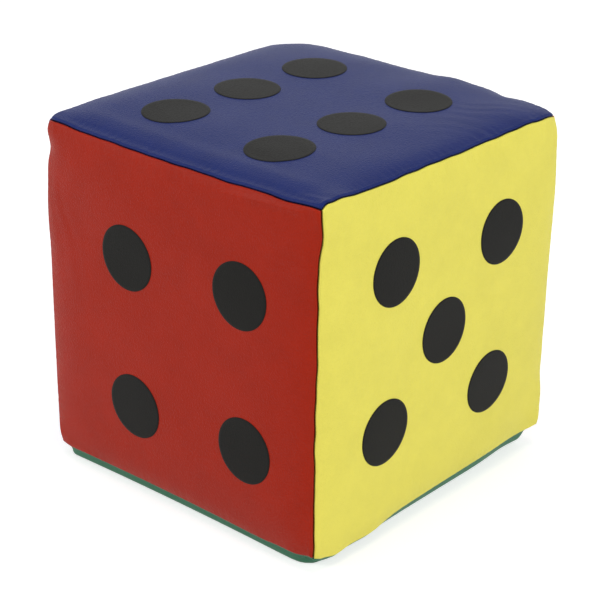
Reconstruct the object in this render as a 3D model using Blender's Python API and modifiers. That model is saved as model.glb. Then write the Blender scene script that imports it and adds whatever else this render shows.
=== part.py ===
"""Soft toy dice: a foam block in a sewn vinyl cover, closed by a zip down one edge.

Metres, +Z up. The dice stands on its base panel with the origin on the floor under its
middle. The six-pip side is up, the four-pip side faces -Y and the five-pip side +X.
The zip runs down the upright edge between the two sides that face +Y and -X.
"""
import math
from dataclasses import dataclass

import bmesh
import bpy
from mathutils import Matrix, Vector

# Cover
SEAM_WIDTH = 0.290  # between the seams of opposite sides
SEAM_HEIGHT = 0.290  # from the base seams up to the top seams
SIDE_CROWN = 0.005  # swell of a side past its seams
TOP_CROWN = 0.007
BASE_RISE = 0.008  # height of the base seams over the floor
SEAM_DRAW = 0.0015  # how far a seam is drawn in between its corners
SHEET = 0.001  # thickness of the vinyl leathercloth
ROLL_RADIUS = 0.002  # outside radius where the sheet turns in to a seam
SEAM_GAP = 0.0003  # between the two sheets of one seam
ALLOWANCE = 0.008  # depth of the sheet turned in past a seam
FIT_GAP = 0.0003  # between pieces that touch

# Shape of a face, from its middle to its seams
CROWN_POWER = 6.0  # a side is nearly flat, then rolls off close to its seams
BASE_POWER = 6.0  # the base is flat, then turns up steeply to its seams
DRAW_POWER = 8.0
BASE_FLAT_SHARE = 0.72  # the base lies flat out to here, between its pip seat and its seams
OUTER_SHARES = (0.35, BASE_FLAT_SHARE, 0.90, 1.0)

# Pips
PIP_DIAMETER = 0.054
PIP_SHEET = 0.0003
PIP_SEGMENTS = 24
PIP_SEAT_MARGIN = 0.0025  # flat land round a pip
PIP_SEAT_SLOPE = 0.014
PIP_SEAT_DEPTH = 0.0009  # the base sinks in round its pip, which stays off the floor

# Foam
CORE_GAP = 0.0006  # between the foam and the cover's sheets
CORE_SEAM_GAP = 0.0012  # between the foam's eased edges and the turned-in sheets

# Zip, measured from the edge that the two sides would have without their seam
TEETH_LENGTH = 0.240
TOOTH_PITCH = 0.004
TOOTH_ROOT = 0.0012
TOOTH_TIP = 0.0020  # a tip wider than its root holds the other row
TEETH_THICKNESS = 0.0018
TEETH_DEPTH = 0.0056  # from that edge inwards to the middle of the teeth
SPINE_REACH = 0.0016  # from the zip's centre line to a row's spine
SPINE_WIDTH = 0.0012
TAPE_THICKNESS = 0.0006
TAPE_FLAT_WIDTH = 0.0021
TAPE_LAP = 0.006  # of the tape under a panel
TAPE_GAP = 0.0005  # between the tape and the panel that it is sewn to
TAPE_CELL = 0.030
TAPE_ROWS = 3  # two across the flat part and the bend, one in the lap
SLOT_WIDTH = 0.015
SLOT_MARGIN = 0.005  # of the slot past the teeth
STOP_LENGTH = 0.0035
STOP_CAP = 0.0008
STOP_OVERLAP = 0.0011  # of a stop's cap over the tape

# Slider and puller
SLIDER_LENGTH = 0.012
SLIDER_PLATE = 0.0012
SLIDER_RAIL = 0.0012  # width of the lips that run beside the teeth
SLIDER_BEVEL = 0.0003
BAIL_LENGTH = 0.0068
BAIL_WIDTH = 0.0022
BAIL_METAL = 0.0010
PULLER_METAL = 0.0010
PULLER_LENGTH = 0.024
PULLER_NECK = 0.0036
PULLER_GRIP = 0.0068
PULLER_HOLE = 0.0026
PULLER_BEVEL = 0.0002
EYE_WALL = 0.0013

DIAGONAL = math.sqrt(0.5)
MIDDLE_Z = BASE_RISE + SEAM_HEIGHT / 2
BORDER_INSET = ROLL_RADIUS * (1 + math.sqrt(2)) + SEAM_GAP * DIAGONAL
SLOT_LENGTH = TEETH_LENGTH + 2 * SLOT_MARGIN

BLUE = (0.020, 0.026, 0.180)
RED = (0.380, 0.022, 0.012)
YELLOW = (0.800, 0.700, 0.085)
GREEN = (0.020, 0.160, 0.070)
ORANGE = (0.700, 0.160, 0.015)
PURPLE = (0.110, 0.030, 0.200)
BLACK = (0.020, 0.020, 0.020)


@dataclass(frozen=True)
class Face:
    """One side of the cover. Its own X runs across, its Y up and its Z outwards."""

    name: str
    turn: tuple  # degrees about X, Y and Z that set it on its side of the dice
    half_across: float
    half_up: float
    depth: float  # from the middle of the dice to the plane of its seams
    crown: float
    colour: tuple
    pips: int
    spread: tuple  # pip places, as shares of the way from the middle to a seam
    shift: tuple = (0.0, 0.0)  # how far off the middle the pips were put on
    slant: float = 0.0  # degrees off square, anticlockwise, that they were put on


HALF = SEAM_WIDTH / 2
TALL = SEAM_HEIGHT / 2
FACES = (
    Face("top", (0, 0, 0), HALF, HALF, TALL, TOP_CROWN, BLUE, 6, (0.405, 0.535), (-0.004, -0.002), -3.0),
    Face("front", (90, 0, 0), HALF, TALL, HALF, SIDE_CROWN, RED, 4, (0.415, 0.435), (0.012, -0.008), 2.0),
    Face("right", (90, 0, 90), HALF, TALL, HALF, SIDE_CROWN, YELLOW, 5, (0.45, 0.45), (0.001, 0.002), -3.0),
    Face("back", (90, 0, 180), HALF, TALL, HALF, SIDE_CROWN, ORANGE, 3, (0.44, 0.46)),
    Face("left", (90, 0, 270), HALF, TALL, HALF, SIDE_CROWN, PURPLE, 2, (0.44, 0.46)),
    Face("bottom", (180, 0, 0), HALF, HALF, TALL, BASE_RISE, GREEN, 1, (0.0, 0.0)),
)


def clear_scene():
    for obj in list(bpy.data.objects):
        bpy.data.objects.remove(obj, do_unlink=True)
    for group in list(bpy.data.collections):
        bpy.data.collections.remove(group)


def new_collection(name):
    group = bpy.data.collections.new(name)
    bpy.context.scene.collection.children.link(group)
    return group


def material(name, colour, roughness, metallic=0.0):
    made = bpy.data.materials.get(name)
    if made is None:
        made = bpy.data.materials.new(name)
        made.use_nodes = True
        shader = made.node_tree.nodes["Principled BSDF"]
        shader.inputs["Base Color"].default_value = (*colour, 1.0)
        shader.inputs["Roughness"].default_value = roughness
        shader.inputs["Metallic"].default_value = metallic
    return made


def vinyl(face):
    return material(f"vinyl_{face.name}", face.colour, 0.45)


def zip_moulding():
    return material("zip_moulding", BLACK, 0.40)


def zip_textile():
    return material("zip_textile", BLACK, 0.90)


def zip_metal():
    return material("zip_metal", (0.55, 0.55, 0.56), 0.30, 1.0)


def add_object(name, mesh, finish, group):
    obj = bpy.data.objects.new(name, mesh)
    if finish is not None:
        mesh.materials.clear()
        mesh.materials.append(finish)
    group.objects.link(obj)
    return obj


def mesh_of(bm, name):
    bmesh.ops.recalc_face_normals(bm, faces=bm.faces)
    mesh = bpy.data.meshes.new(name)
    bm.to_mesh(mesh)
    bm.free()
    return mesh


def sheet_mesh(bm, name):
    """An open sheet as a smooth mesh, with its faces towards +Z."""
    bmesh.ops.recalc_face_normals(bm, faces=bm.faces)
    if max(bm.faces, key=bmesh.types.BMFace.calc_area).normal.z < 0:
        bmesh.ops.reverse_faces(bm, faces=bm.faces)
    mesh = bpy.data.meshes.new(name)
    bm.to_mesh(mesh)
    bm.free()
    smooth(mesh)
    return mesh


def smooth(mesh, degrees=30):
    mesh.shade_smooth()
    mesh.set_sharp_from_angle(angle=math.radians(degrees))


def add_bevel(obj, width, segments=1):
    bevel = obj.modifiers.new("Bevel", "BEVEL")
    bevel.width = width
    bevel.segments = segments
    bevel.limit_method = "ANGLE"
    bevel.angle_limit = math.radians(40)


def add_boolean(obj, other, operation):
    boolean = obj.modifiers.new("Boolean", "BOOLEAN")
    boolean.operation = operation
    boolean.solver = "EXACT"
    boolean.object = other


def as_cutter(obj):
    obj.hide_render = True
    obj.display_type = "WIRE"
    return obj


# Shape of a face

def border(half_width):
    """Half width of a face up to the line where its sheet starts to turn in."""
    return half_width - BORDER_INSET


def outer_station(half_width, share):
    """Distance from a face's middle, by the share of the way from a pip seat to the border."""
    rim = PIP_DIAMETER / 2 + PIP_SEAT_MARGIN + PIP_SEAT_SLOPE
    return rim + (border(half_width) - rim) * share


def stations(half_width):
    """Distances from a face's middle to the lines of its grid."""
    seat = PIP_DIAMETER / 2 + PIP_SEAT_MARGIN
    inner = (0.0, seat, seat + PIP_SEAT_SLOPE)
    return inner + tuple(outer_station(half_width, share) for share in OUTER_SHARES)


def share_past_flat(face, distance, half_width):
    """0 out to the end of a face's flat middle, rising to 1 at its border."""
    flat = outer_station(half_width, BASE_FLAT_SHARE) if face.name == "bottom" else 0.0
    return min(max((abs(distance) - flat) / (border(half_width) - flat), 0.0), 1.0)


def swell(face, distance, half_width):
    """1 in the flat middle of a face, falling to 0 at its border."""
    power = BASE_POWER if face.name == "bottom" else CROWN_POWER
    return 1.0 - share_past_flat(face, distance, half_width) ** power


def pip_seat(face, x, y):
    """Depth of the seat that the base has round its one pip."""
    if face.name != "bottom":
        return 0.0
    seat = PIP_DIAMETER / 2 + PIP_SEAT_MARGIN
    outside = max(abs(x), abs(y)) - seat
    return PIP_SEAT_DEPTH * min(max(1.0 - outside / PIP_SEAT_SLOPE, 0.0), 1.0)


def seam_draw(face, distance, half_width, along, half_length):
    """How far the sheet is drawn in, near the seam that lies across this distance."""
    share = share_past_flat(face, distance, half_width)
    run = min(abs(along) / border(half_length), 1.0)
    return SEAM_DRAW * share ** DRAW_POWER * (1.0 - run ** 2)


def face_height(face, x, y):
    """Height of the sheet's outside over the plane of its seams."""
    height = face.crown * swell(face, x, face.half_across) * swell(face, y, face.half_up)
    height -= pip_seat(face, x, y)
    height -= seam_draw(face, x, face.half_across, y, face.half_up)
    height -= seam_draw(face, y, face.half_up, x, face.half_across)
    return height


def turned_in_rings():
    """Steps outwards and down from a face's border: round the roll, then in along the seam."""
    rings = [(0.0, 0.0)]
    for degrees in (67.5, 135.0):
        angle = math.radians(degrees)
        rings.append((ROLL_RADIUS * math.sin(angle), ROLL_RADIUS * (1.0 - math.cos(angle))))
    out, down = rings[-1]
    rings.append((out - ALLOWANCE * DIAGONAL, down + ALLOWANCE * DIAGONAL))
    return rings


def sheet_point(face, column, row, ring):
    """A grid point of the sheet. The rings past the border keep the grid's proportions."""
    out, down = turned_in_rings()[ring]
    across = stations(face.half_across)[abs(column)]
    up = stations(face.half_up)[abs(row)]
    height = face_height(face, across, up) - down
    wide = across * (1.0 + out / border(face.half_across))
    tall = up * (1.0 + out / border(face.half_up))
    wide -= seam_draw(face, across, face.half_across, up, face.half_up)
    tall -= seam_draw(face, up, face.half_up, across, face.half_across)
    return Vector((math.copysign(wide, column), math.copysign(tall, row), height))


def face_matrix(face):
    turn = Matrix.Identity(4)
    for degrees, axis in zip(face.turn, "XYZ"):
        turn = Matrix.Rotation(math.radians(degrees), 4, axis) @ turn
    return Matrix.Translation((0, 0, MIDDLE_Z)) @ turn @ Matrix.Translation((0, 0, face.depth))


# Cover, pips and foam

def make_panel(face, group):
    """One sheet of the cover with its seam allowances turned in all round."""
    lines = len(stations(face.half_across)) - 1
    bm = bmesh.new()
    bmesh.ops.create_grid(bm, x_segments=2 * lines, y_segments=2 * lines, size=lines)
    edges = [edge for edge in bm.edges if edge.is_boundary]
    for ring in range(1, len(turned_in_rings())):
        made = bmesh.ops.extrude_edge_only(bm, edges=edges)["geom"]
        for vert in made:
            if isinstance(vert, bmesh.types.BMVert):
                vert.co.z = ring
        edges = [e for e in made if isinstance(e, bmesh.types.BMEdge) and e.is_boundary]
    for vert in bm.verts:
        column, row, ring = (round(value) for value in vert.co)
        vert.co = sheet_point(face, column, row, ring)
    name = f"panel_{face.name}"
    obj = add_object(name, sheet_mesh(bm, name), vinyl(face), group)
    obj.matrix_world = face_matrix(face)
    solid = obj.modifiers.new("Solidify", "SOLIDIFY")
    solid.thickness = SHEET
    solid.offset = -1.0
    solid.use_even_offset = True
    return obj


def pip_places(face):
    """Pip centres on a face, in the usual pattern for its number."""
    low, high = -1, 1
    rows = {1: (), 2: ((low, high), (high, low)), 3: ((low, high), (high, low))}
    corners = ((low, high), (high, high), (low, low), (high, low))
    rows.update({4: corners, 5: corners, 6: corners + ((low, 0), (high, 0))})
    places = rows[face.pips]
    if face.pips % 2:
        places += ((0, 0),)
    slant = Matrix.Rotation(math.radians(face.slant), 2)
    for across, up in places:
        square = Vector((across * face.spread[0] * face.half_across, up * face.spread[1] * face.half_up))
        yield slant @ square + Vector(face.shift)


def make_pips(face, group):
    """Round black vinyl pips that lie on the panel's own curve."""
    for number, (x, y) in enumerate(pip_places(face), start=1):
        bm = bmesh.new()
        bmesh.ops.create_circle(
            bm, cap_ends=True, cap_tris=True, segments=PIP_SEGMENTS, radius=PIP_DIAMETER / 2)
        spokes = [edge for edge in bm.edges if not edge.is_boundary]
        bmesh.ops.subdivide_edges(bm, edges=spokes, cuts=1)
        middle = face_height(face, x, y)
        for vert in bm.verts:
            vert.co.z = face_height(face, x + vert.co.x, y + vert.co.y) - middle
        name = f"pip_{face.name}_{number}"
        obj = add_object(name, sheet_mesh(bm, name), material("pip_vinyl", BLACK, 0.55), group)
        obj.matrix_world = face_matrix(face) @ Matrix.Translation((x, y, middle + FIT_GAP))
        solid = obj.modifiers.new("Solidify", "SOLIDIFY")
        solid.thickness = PIP_SHEET
        solid.offset = 1.0


def make_core(group):
    """The foam block: the cover's shape less its sheet, with its edges eased for the seams."""
    sides = {face.name: face for face in FACES}
    by_axis = (("left", "right"), ("front", "back"), ("bottom", "top"))
    half = Vector((HALF, HALF, TALL))
    lines = len(stations(HALF)) - 1
    bm = bmesh.new()
    bmesh.ops.create_cube(bm, size=2 * lines)
    bmesh.ops.subdivide_edges(bm, edges=bm.edges, cuts=2 * lines - 1, use_grid_fill=True)
    for vert in bm.verts:
        step = [round(value) for value in vert.co]
        flat = [math.copysign(stations(half[i])[abs(step[i])], step[i]) for i in range(3)]
        place = list(flat)
        for axis in range(3):
            if abs(step[axis]) == lines:
                face = sides[by_axis[axis][step[axis] > 0]]
                across, up = [flat[i] for i in range(3) if i != axis]
                swollen = half[axis] + face_height(face, across, up) - SHEET - CORE_GAP
                place[axis] = math.copysign(swollen, step[axis])
        vert.co = place
    seam_line = 2 * ROLL_RADIUS * (1 + DIAGONAL) * DIAGONAL
    ease = seam_line + SEAM_DRAW / DIAGONAL + ALLOWANCE + CORE_SEAM_GAP
    for first, second in ((0, 1), (0, 2), (1, 2)):
        for sign_a in (-1, 1):
            for sign_b in (-1, 1):
                outward = Vector((0, 0, 0))
                outward[first] = sign_a
                outward[second] = sign_b
                corner = Vector([outward[i] * half[i] for i in range(3)])
                outward.normalize()
                cut = bmesh.ops.bisect_plane(
                    bm, geom=bm.verts[:] + bm.edges[:] + bm.faces[:], dist=1e-6,
                    plane_co=corner - outward * ease, plane_no=outward, clear_outer=True)
                rim = [item for item in cut["geom_cut"] if isinstance(item, bmesh.types.BMEdge)]
                bmesh.ops.holes_fill(bm, edges=rim, sides=0)
    mesh = mesh_of(bm, "foam_core")
    smooth(mesh)
    obj = add_object("foam_core", mesh, material("foam", (0.75, 0.72, 0.55), 0.95), group)
    obj.location = (0, 0, MIDDLE_Z)


# Zip, in a frame whose X runs up the edge, Y across it and Z in towards the foam

def make_zip_frame(group):
    frame = bpy.data.objects.new("zip_frame", None)
    frame.empty_display_size = 0.02
    up = Vector((0, 0, 1))
    across = Vector((-DIAGONAL, -DIAGONAL, 0))
    inwards = Vector((DIAGONAL, -DIAGONAL, 0))
    turn = Matrix((up, across, inwards)).transposed().to_4x4()
    frame.matrix_world = Matrix.Translation((-HALF, HALF, MIDDLE_Z)) @ turn
    group.objects.link(frame)
    return frame


def outline_mesh(name, outlines, thickness, turn=Matrix.Identity(4)):
    """A flat outline with any holes, thickened both ways and turned, as a welded mesh."""
    curve = bpy.data.curves.new(name, "CURVE")
    curve.dimensions = "2D"
    curve.fill_mode = "BOTH"
    curve.extrude = thickness / 2
    for outline in outlines:
        spline = curve.splines.new("POLY")
        spline.points.add(len(outline) - 1)
        for point, (x, y) in zip(spline.points, outline):
            point.co = (x, y, 0.0, 1.0)
        spline.use_cyclic_u = True
    guide = bpy.data.objects.new(name, curve)
    bpy.context.scene.collection.objects.link(guide)
    bpy.context.view_layer.update()
    mesh = bpy.data.meshes.new_from_object(guide.evaluated_get(bpy.context.evaluated_depsgraph_get()))
    bpy.data.objects.remove(guide)
    bm = bmesh.new()
    bm.from_mesh(mesh)
    bmesh.ops.remove_doubles(bm, verts=bm.verts, dist=1e-6)
    bmesh.ops.transform(bm, matrix=turn, verts=bm.verts)
    bpy.data.meshes.remove(mesh)
    return mesh_of(bm, name)


def place_in_zip(obj, frame, x=0.0, depth=0.0):
    obj.parent = frame
    obj.location = (x, 0.0, depth)
    return obj


def along_zip():
    """Turns an outline drawn in X and Y so that it lies across the zip and is thick along it."""
    return Matrix(((0, 0, 1, 0), (1, 0, 0, 0), (0, 1, 0, 0), (0, 0, 0, 1)))


def beside_zip():
    """Turns an outline drawn in X and Y so that it stands on the zip's centre plane."""
    return Matrix(((1, 0, 0, 0), (0, 0, 1, 0), (0, 1, 0, 0), (0, 0, 0, 1)))


def make_slot(frame, group):
    """Cutter for the opening that the zip closes."""
    end = SLOT_LENGTH / 2
    side = SLOT_WIDTH / 2
    depth = 2 * (ALLOWANCE + 4 * ROLL_RADIUS + SIDE_CROWN)  # through the sheets and out past them
    outline = [(-end, -side), (end, -side), (end, side), (-end, side)]
    slot = add_object("zip_slot", outline_mesh("zip_slot", [outline], depth), None, group)
    place_in_zip(slot, frame)
    return as_cutter(slot)


def make_teeth(side, name, frame, group):
    """One row: a straight spine with dovetail teeth that reach between the other row's."""
    end = TEETH_LENGTH / 2
    outer = SPINE_REACH + SPINE_WIDTH
    tip = -(SPINE_REACH - FIT_GAP)
    outline = [(-end, outer), (end, outer), (end, SPINE_REACH)]
    count = math.floor(round(TEETH_LENGTH / TOOTH_PITCH, 3))
    first = -count * TOOTH_PITCH / 2 + TOOTH_PITCH * (2 - side) / 4
    for number in reversed(range(count)):
        x = first + number * TOOTH_PITCH
        outline += [(x + TOOTH_ROOT / 2, SPINE_REACH), (x + TOOTH_TIP / 2, tip),
                    (x - TOOTH_TIP / 2, tip), (x - TOOTH_ROOT / 2, SPINE_REACH)]
    outline.append((-end, SPINE_REACH))
    outline = [(x, side * y) for x, y in outline]
    mesh = outline_mesh(name, [outline], TEETH_THICKNESS)
    return place_in_zip(add_object(name, mesh, zip_moulding(), group), frame, depth=TEETH_DEPTH)


def tape_under_panel(face, side, x, inset):
    """A point of the tape under a panel, this far in from the panel's edge, in the zip's frame."""
    height = face_height(face, face.half_across - inset, x)
    height -= SHEET + TAPE_GAP + TAPE_THICKNESS / 2
    return (x, side * (inset + height) * DIAGONAL, (inset - height) * DIAGONAL)


def make_tape(side, name, face, frame, group):
    """A woven tape: flat beside the teeth, then bent under the edge of its panel."""
    half_length = SLOT_LENGTH / 2 - FIT_GAP
    cells = math.ceil(2 * half_length / TAPE_CELL)
    inner = SPINE_REACH + SPINE_WIDTH + FIT_GAP
    lap_start = SLOT_WIDTH * DIAGONAL
    bm = bmesh.new()
    bmesh.ops.create_grid(bm, x_segments=cells, y_segments=TAPE_ROWS, size=1)
    for vert in bm.verts:
        x = vert.co.x * half_length
        row = round((vert.co.y + 1) * TAPE_ROWS / 2)
        if row < 2:
            vert.co = (x, side * (inner + row * TAPE_FLAT_WIDTH), TEETH_DEPTH)
        else:
            vert.co = tape_under_panel(face, side, x, lap_start + (row - 2) * TAPE_LAP)
    bm.normal_update()
    mesh = bpy.data.meshes.new(name)
    bm.to_mesh(mesh)
    bm.free()
    obj = place_in_zip(add_object(name, mesh, zip_textile(), group), frame)
    solid = obj.modifiers.new("Solidify", "SOLIDIFY")
    solid.thickness = TAPE_THICKNESS
    solid.offset = 0.0
    solid.use_even_offset = True
    return obj


def make_stop(name, end, frame, group):
    """A clamp across both tapes, where the slider's travel ends."""
    web = SPINE_REACH + SPINE_WIDTH
    web_half = TAPE_THICKNESS / 2 + FIT_GAP
    cap = web + FIT_GAP + STOP_OVERLAP
    cap_half = web_half + STOP_CAP
    quarter = [(web, 0.0), (web, web_half), (cap, web_half), (cap, cap_half)]
    upper = quarter[1:] + [(-y, z) for y, z in reversed(quarter[1:])]
    outline = upper + [(-y, -z) for y, z in upper]
    mesh = outline_mesh(name, [outline], STOP_LENGTH, along_zip())
    x = end * (TEETH_LENGTH / 2 + FIT_GAP + STOP_LENGTH / 2)
    return place_in_zip(add_object(name, mesh, zip_metal(), group), frame, x, TEETH_DEPTH)


def slider_rest():
    """How far up the zip's frame the slider's middle lies when the zip is closed."""
    return (TEETH_LENGTH - SLIDER_LENGTH) / 2


def slider_outer():
    """Height of the slider's outer face over the middle of the teeth."""
    return TEETH_THICKNESS / 2 + FIT_GAP + SLIDER_PLATE


def slider_plate_mesh(name, outward):
    """A plate with a lip down each side: a channel that runs along the teeth."""
    lip_in = SPINE_REACH + SPINE_WIDTH + 2 * FIT_GAP
    lip_out = lip_in + SLIDER_RAIL
    lip = TAPE_THICKNESS / 2 + FIT_GAP
    under = slider_outer() - SLIDER_PLATE
    half = [(lip_out, lip), (lip_out, slider_outer()), (-lip_out, slider_outer()), (-lip_out, lip)]
    outline = half + [(-lip_in, lip), (-lip_in, under), (lip_in, under), (lip_in, lip)]
    outline = [(y, -outward * z) for y, z in outline]
    return outline_mesh(name, [outline], SLIDER_LENGTH, along_zip())


def bail_room():
    """Height of the bail's opening: the puller's square bar turns in it."""
    return PULLER_METAL * math.sqrt(2) + 2 * FIT_GAP


def make_slider(frame, group, cutters):
    """The outer plate with the bail that carries the puller, and the plate behind the teeth."""
    outer = add_object("zip_slider", slider_plate_mesh("zip_slider", 1), zip_metal(), group)
    place_in_zip(outer, frame, slider_rest(), TEETH_DEPTH)
    inner = add_object("zip_slider_back", slider_plate_mesh("zip_slider_back", -1), zip_metal(), group)
    place_in_zip(inner, frame, slider_rest(), TEETH_DEPTH)
    foot = -(slider_outer() - SLIDER_PLATE / 2)
    inside = -(slider_outer() + bail_room())
    top = inside - BAIL_METAL
    reach = BAIL_LENGTH / 2
    leg = reach - BAIL_METAL
    arch = [(-reach, foot), (-reach, inside), (-leg, top), (leg, top), (reach, inside), (reach, foot),
            (leg, foot), (leg, inside), (-leg, inside), (-leg, foot)]
    bail = add_object("bail", outline_mesh("bail", [arch], BAIL_WIDTH, beside_zip()), None, cutters)
    place_in_zip(as_cutter(bail), frame, slider_rest(), TEETH_DEPTH)
    add_boolean(outer, bail, "UNION")
    for plate in (outer, inner):
        add_bevel(plate, SLIDER_BEVEL)


def make_puller(frame, group):
    """A flat pull tab whose cross bar lies in the bail. It hangs down the zip."""
    bar = PULLER_METAL / 2
    eye_wide = BAIL_WIDTH / 2 + FIT_GAP
    eye_end = math.hypot(BAIL_LENGTH / 2, bail_room() / 2) + FIT_GAP
    arm = eye_wide + EYE_WALL
    shoulder = eye_end + 2 * EYE_WALL
    tip = PULLER_LENGTH - PULLER_GRIP / 2
    right = [(bar, arm), (-eye_end, arm), (-shoulder, PULLER_NECK / 2),
             (-shoulder - PULLER_NECK, PULLER_NECK / 2), (-tip + PULLER_GRIP / 2, PULLER_GRIP / 2)]
    steps = 8
    end = []
    for step in range(steps + 1):
        angle = math.radians(90 + 180 * step / steps)
        end.append((-tip + PULLER_GRIP / 2 * math.cos(angle), PULLER_GRIP / 2 * math.sin(angle)))
    left = [(x, -y) for x, y in reversed(right)]
    eye = [(-bar, eye_wide), (-eye_end, eye_wide), (-eye_end, -eye_wide), (-bar, -eye_wide)]
    hole = []
    for step in range(2 * steps):
        angle = math.pi * step / steps
        hole.append((-tip + PULLER_HOLE / 2 * math.cos(angle), PULLER_HOLE / 2 * math.sin(angle)))
    mesh = outline_mesh("zip_puller", [right + end + left, eye, hole], PULLER_METAL)
    puller = add_object("zip_puller", mesh, zip_metal(), group)
    hinge_depth = TEETH_DEPTH - slider_outer() - bail_room() / 2
    place_in_zip(puller, frame, slider_rest(), hinge_depth)
    add_bevel(puller, PULLER_BEVEL)


def make_zip(panels, group, cutters):
    frame = make_zip_frame(group)
    slot = make_slot(frame, cutters)
    for panel in panels:
        add_boolean(panel, slot, "DIFFERENCE")
    sides = {face.name: face for face in FACES}
    for side, name in ((1, "left"), (-1, "back")):
        make_teeth(side, f"zip_teeth_{name}", frame, group)
        make_tape(side, f"zip_tape_{name}", sides[name], frame, group)
    make_stop("zip_top_stop", 1, frame, group)
    make_stop("zip_bottom_stop", -1, frame, group)
    make_slider(frame, group, cutters)
    make_puller(frame, group)


def main():
    clear_scene()
    group = new_collection("soft_toy_dice")
    cutters = new_collection("cutters")
    panels = {}
    for face in FACES:
        panels[face.name] = make_panel(face, group)
        make_pips(face, group)
    make_core(group)
    make_zip((panels["left"], panels["back"]), group, cutters)


main()
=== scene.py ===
"""Looks of the soft toy dice: sewn vinyl panels over foam, black pips, a zip and a studio.

The panels and pips follow one surface, written below as a height over the plane of a side's
seams. Local X runs across a side, local Y up it and local Z out of it. Lengths are in metres,
and only the give of the soft body is in millimetres.
"""
import math
from dataclasses import dataclass

import bmesh
import bpy
import numpy as np
from mathutils import Matrix, Vector


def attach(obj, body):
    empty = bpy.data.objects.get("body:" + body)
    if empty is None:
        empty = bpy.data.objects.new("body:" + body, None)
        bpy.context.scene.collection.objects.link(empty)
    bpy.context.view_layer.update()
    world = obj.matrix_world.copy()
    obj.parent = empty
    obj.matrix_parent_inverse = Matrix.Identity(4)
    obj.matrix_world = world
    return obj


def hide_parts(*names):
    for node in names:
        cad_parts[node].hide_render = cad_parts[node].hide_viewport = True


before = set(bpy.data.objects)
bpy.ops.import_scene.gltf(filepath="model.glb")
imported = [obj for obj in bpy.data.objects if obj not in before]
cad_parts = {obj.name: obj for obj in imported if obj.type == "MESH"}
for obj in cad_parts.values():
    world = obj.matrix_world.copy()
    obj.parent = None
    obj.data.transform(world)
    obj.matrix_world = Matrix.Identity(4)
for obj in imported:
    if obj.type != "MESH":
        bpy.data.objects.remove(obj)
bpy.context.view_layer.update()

# Cover, as it is cut and sewn
HALF = 0.145  # from the middle of the dice to its seams
MIDDLE_Z = 0.153
MIDDLE = np.array((0.0, 0.0, MIDDLE_Z))
ALLOWANCE = 0.008  # turned in at each seam
SHEET = 0.0009
SEAM_GAP = 0.0003  # between the two sheets of a seam
ROLL_RADIUS = 0.0018  # of a panel's outer face, where it rolls over into its seam
SEAM_TURN = 135.0  # degrees that it turns there, to lie along the diagonal of the edge
BORDER = HALF - ROLL_RADIUS * (1 + math.sqrt(2)) - SEAM_GAP * math.sqrt(0.5)  # where it rolls over
SIDE_CROWN = 0.005  # of the sides that the photograph doesn't show
SEAM_DRAW = 0.0005  # how far the middle of a seam is drawn in
DRAW_POWER = 32.0  # how close to the seam that is felt

# Base, flat on the floor and turned up at its seams
BASE_RISE = 0.008
BASE_FLAT = 0.133  # from the middle to where it starts to turn up
BASE_FLAT_RIGHT = 0.123  # the same towards the right side
BASE_POWER = 4.0  # how late it turns up
CORNER_TURN = 1.5  # lower is rounder, at the corners of the flat

# Pips
PIP_RADIUS = 0.027
PIP_SHEET = 0.0003
PIP_LIFT = 0.00006
PIP_BEVEL = 0.0001
PIP_BEVEL_WIDTH = 0.00012
PIP_SEAT_REACH = 0.030  # the base is pressed in this far round the middle of its pip
PIP_SEAT_SLOPE = 0.014  # and rises back over this
PIP_SEAT_DEPTH = 0.0009

# Foam, a little smaller than the inside of the cover
FOAM_SHARE = 0.978

# Zip opening in the sides at the back left edge, and the hems along it
SLOT_BORDER = HALF - 0.0075 * math.sqrt(2)
SLOT_END = 0.1265  # above and below the middle
SLOT_TURN = 0.0025  # half the length over which the opening closes
CUT_BACK_START = 0.100  # from here out a panel is drawn in to the opening
HEM_RADIUS = 0.0011
HEM_LEG = 0.006
STITCH_LENGTH = 0.0026
STITCH_PITCH = 0.0032
STITCH_INSET = 0.0030  # from the fold of the hem
THREAD_RADIUS = 0.00022

# Mesh
CELLS = 170  # across a panel
ROLL_STEPS = 7
LEG_STEPS = 3
PIP_SPOKES = 96
PIP_RINGS = 12
THREAD_SPOKES = 8


@dataclass(frozen=True)
class Side:
    """One side of the dice, with its pips."""
    name: str
    turn: tuple  # degrees about X, Y and Z, from facing up
    crown: float
    pips: int
    spread: tuple  # of the outer pips across and up, as a share of HALF
    shift: tuple = (0.0, 0.0)  # of all its pips
    slant: float = 0.0  # degrees off square that the pips were put on
    zip_edge: int = 0  # which way along local X the zip lies
    rolls: tuple = (7.0, 7.0, 7.0, 7.0)  # how late it rolls off to -X, +X, -Y and +Y; 2 is a dome


SIDES = (
    Side("top", (0, 0, 0), 0.0060, 6, (0.402, 0.530), (-0.0034, -0.0028), -3.3,
         rolls=(7.0, 10.0, 4.5, 7.0)),
    Side("front", (90, 0, 0), 0.0042, 4, (0.412, 0.435), (0.0132, -0.0072), 2.0),
    Side("right", (90, 0, 90), 0.0032, 5, (0.45, 0.45), (0.0002, 0.0028), -3.0),
    Side("back", (90, 0, 180), SIDE_CROWN, 3, (0.44, 0.46), zip_edge=1),
    Side("left", (90, 0, 270), SIDE_CROWN, 2, (0.44, 0.46), zip_edge=-1),
    Side("bottom", (180, 0, 0), BASE_RISE, 1, (0.0, 0.0)),
)


@dataclass(frozen=True)
class Vinyl:
    """A coated cloth: its slot in the record, which nothing here reads, its linear colour, and how
    its coat looks.
    """
    slot: str
    colour: tuple
    variation: float = 0.09  # how far its tone changes from patch to patch
    roughness: float = 0.34
    shine: float = 0.090
    grain_depth: float = 0.00034


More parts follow.
